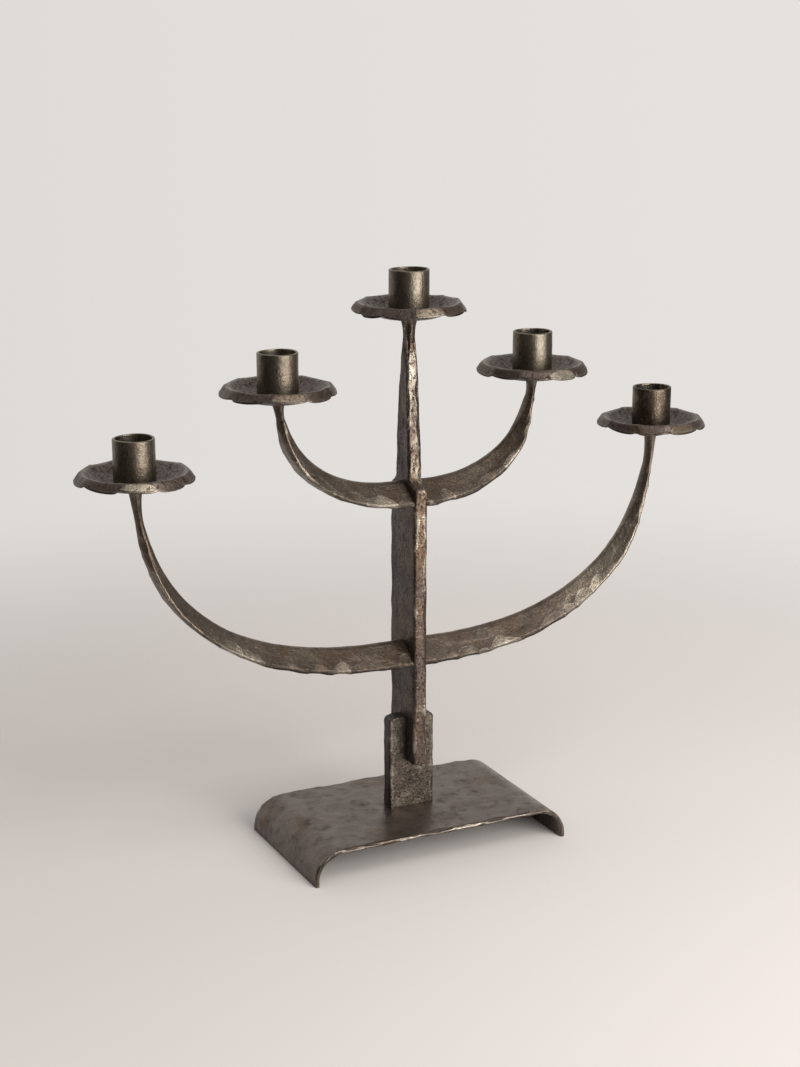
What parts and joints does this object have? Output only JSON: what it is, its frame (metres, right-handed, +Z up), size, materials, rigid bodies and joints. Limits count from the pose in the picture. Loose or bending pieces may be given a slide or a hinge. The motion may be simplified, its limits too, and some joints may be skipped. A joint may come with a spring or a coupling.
{
  "type": "candle holder",
  "caption": "Forged iron candle holder with a flat upright stem, two U-shaped pairs of ridged arms, hammered drip pans, straight candle sockets and a bent plate foot.",
  "frame": {"origin": "on the table, under the middle of the foot plate", "axes": "+X along the row of candles, +Y from front to back, +Z up the stem"},
  "size_m": [0.4407, 0.1048, 0.38],
  "materials": {
    "forged_iron": "hot-forged mild steel, hammered, wire-brushed and waxed dark grey-brown, with burnished edges",
    "pan_iron": "grainy dark waxed sheet, with paler hammered facets on the lip",
    "socket_steel": "smooth dark steel with a bronze sheen and a bright rim",
    "rivet_steel": "plain dark steel"
  },
  "bodies": {
    "root": {"base_plate": "forged_iron", "foot_bracket": "forged_iron", "stem": "forged_iron", "lower_arm_left": "forged_iron", "lower_arm_right": "forged_iron", "upper_arm_left": "forged_iron", "upper_arm_right": "forged_iron", "pan_outer_left": "pan_iron", "pan_inner_left": "pan_iron", "pan_centre": "pan_iron", "pan_inner_right": "pan_iron", "pan_outer_right": "pan_iron", "socket_outer_left": "socket_steel", "socket_inner_left": "socket_steel", "socket_centre": "socket_steel", "socket_inner_right": "socket_steel", "socket_outer_right": "socket_steel", "rivet_outer_left": "rivet_steel", "rivet_inner_left": "rivet_steel", "rivet_centre": "rivet_steel", "rivet_inner_right": "rivet_steel", "rivet_outer_right": "rivet_steel"}
  },
  "joints": []
}
